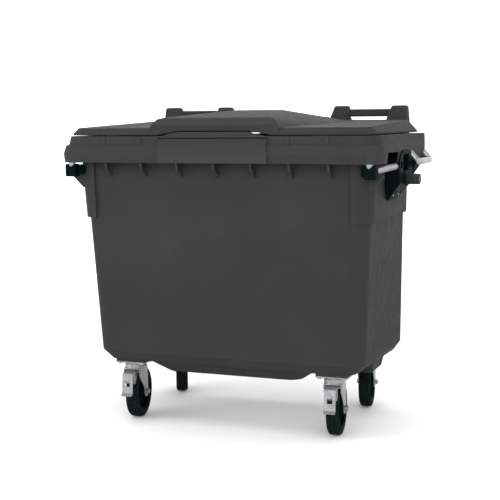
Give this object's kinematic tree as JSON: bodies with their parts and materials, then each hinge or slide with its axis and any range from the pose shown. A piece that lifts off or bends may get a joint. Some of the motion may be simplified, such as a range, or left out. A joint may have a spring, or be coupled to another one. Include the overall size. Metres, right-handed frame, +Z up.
{
  "type": "wheelie bin",
  "caption": "Large wheeled refuse bin: tapered moulded tub with ribbed rim, rear-hinged flat lid with raised middle, end trunnion pins, tube grips and braked swivel castors.",
  "frame": {"origin": "on the floor under the middle of the overall box", "axes": "+X along the long side through the trunnion pins, +Y towards the lid hinge, +Z up"},
  "size_m": [1.36, 0.816, 1.219],
  "materials": {
    "body_plastic": "fine moulded grain",
    "lid_plastic": "fine moulded grain",
    "black_plastic": "moulded",
    "galvanised_steel": "hot-dip galvanised",
    "zinc_fasteners": "zinc plated",
    "bright_steel": "ground",
    "pin_steel": "dark coated",
    "tyre_rubber": "moulded rubber",
    "soft_rubber": "moulded rubber"
  },
  "bodies": {
    "tub": {"tub": "body_plastic", "lid_buffers": "soft_rubber", "hinge_handle_left": "body_plastic", "hinge_handle_right": "body_plastic", "hinge_rod": "bright_steel", "hinge_handle_bolts": "zinc_fasteners", "trunnion_bracket_left": "black_plastic", "trunnion_bracket_right": "black_plastic", "trunnion_pin_left": "pin_steel", "trunnion_pin_right": "pin_steel", "trunnion_bolts": "zinc_fasteners", "front_grip_left": "galvanised_steel", "front_grip_right": "galvanised_steel", "rear_grip_left": "galvanised_steel", "rear_grip_right": "galvanised_steel", "front_grip_socket_left": "black_plastic", "front_grip_socket_right": "black_plastic", "rear_grip_socket_left": "black_plastic", "rear_grip_socket_right": "black_plastic", "castor_plates": "galvanised_steel", "castor_kingpins": "zinc_fasteners", "swivel_balls": "bright_steel", "castor_bolts": "zinc_fasteners", "castor_nuts": "zinc_fasteners", "drain_seal": "soft_rubber"},
    "lid": {"lid": "lid_plastic"},
    "drain_plug": {"drain_plug": "black_plastic"},
    "castor_front_left": {"castor_fork_front_left": "galvanised_steel", "axle_bolt_front_left": "zinc_fasteners", "brake_pin_front_left": "zinc_fasteners"},
    "wheel_front_left": {"tyre_front_left": "tyre_rubber", "wheel_disc_front_left": "black_plastic", "wheel_bearing_front_left": "bright_steel"},
    "pedal_front_left": {"brake_pedal_front_left": "galvanised_steel", "brake_shoe_front_left": "soft_rubber"},
    "castor_front_right": {"castor_fork_front_right": "galvanised_steel", "axle_bolt_front_right": "zinc_fasteners", "brake_pin_front_right": "zinc_fasteners"},
    "wheel_front_right": {"tyre_front_right": "tyre_rubber", "wheel_disc_front_right": "black_plastic", "wheel_bearing_front_right": "bright_steel"},
    "pedal_front_right": {"brake_pedal_front_right": "galvanised_steel", "brake_shoe_front_right": "soft_rubber"},
    "castor_rear_left": {"castor_fork_rear_left": "galvanised_steel", "axle_bolt_rear_left": "zinc_fasteners"},
    "wheel_rear_left": {"tyre_rear_left": "tyre_rubber", "wheel_disc_rear_left": "black_plastic", "wheel_bearing_rear_left": "bright_steel"},
    "castor_rear_right": {"castor_fork_rear_right": "galvanised_steel", "axle_bolt_rear_right": "zinc_fasteners"},
    "wheel_rear_right": {"tyre_rear_right": "tyre_rubber", "wheel_disc_rear_right": "black_plastic", "wheel_bearing_rear_right": "bright_steel"}
  },
  "joints": [
    {"name": "lid_hinge", "type": "hinge", "parent": "tub", "child": "lid", "pos_m": [0, 0.39, 1.158], "axis": [-1, 0, 0], "range_deg": [0, 270]},
    {"name": "drain_plug_turn", "type": "hinge", "parent": "tub", "child": "drain_plug", "pos_m": [0, 0.15, 0.203], "axis": [0, 0, 1], "range_deg": [0, 90]},
    {"name": "swivel_front_left", "type": "hinge", "parent": "tub", "child": "castor_front_left", "pos_m": [-0.407, -0.228, 0.2], "axis": [0, 0, 1], "continuous": true},
    {"name": "spin_front_left", "type": "hinge", "parent": "castor_front_left", "child": "wheel_front_left", "pos_m": [-0.41326, -0.18344, 0.1], "axis": [0.9903, 0.1392, 0], "continuous": true},
    {"name": "brake_front_left", "type": "hinge", "parent": "castor_front_left", "child": "pedal_front_left", "pos_m": [-0.40338, -0.25375, 0.193], "axis": [0.9903, 0.1392, 0], "range_deg": [0, 9]},
    {"name": "swivel_front_right", "type": "hinge", "parent": "tub", "child": "castor_front_right", "pos_m": [0.407, -0.228, 0.2], "axis": [0, 0, 1], "continuous": true},
    {"name": "spin_front_right", "type": "hinge", "parent": "castor_front_right", "child": "wheel_front_right", "pos_m": [0.4023, -0.18325, 0.1], "axis": [0.9945, 0.1045, 0], "continuous": true},
    {"name": "brake_front_right", "type": "hinge", "parent": "castor_front_right", "child": "pedal_front_right", "pos_m": [0.40972, -0.25386, 0.193], "axis": [0.9945, 0.1045, 0], "range_deg": [0, 9]},
    {"name": "swivel_rear_left", "type": "hinge", "parent": "tub", "child": "castor_rear_left", "pos_m": [-0.407, 0.218, 0.2], "axis": [0, 0, 1], "continuous": true},
    {"name": "spin_rear_left", "type": "hinge", "parent": "castor_rear_left", "child": "wheel_rear_left", "pos_m": [-0.4253, 0.25911, 0.1], "axis": [0.9135, 0.4067, 0], "continuous": true},
    {"name": "swivel_rear_right", "type": "hinge", "parent": "tub", "child": "castor_rear_right", "pos_m": [0.407, 0.218, 0.2], "axis": [0, 0, 1], "continuous": true},
    {"name": "spin_rear_right", "type": "hinge", "parent": "castor_rear_right", "child": "wheel_rear_right", "pos_m": [0.40074, 0.26256, 0.1], "axis": [0.9903, 0.1392, 0], "continuous": true}
  ]
}
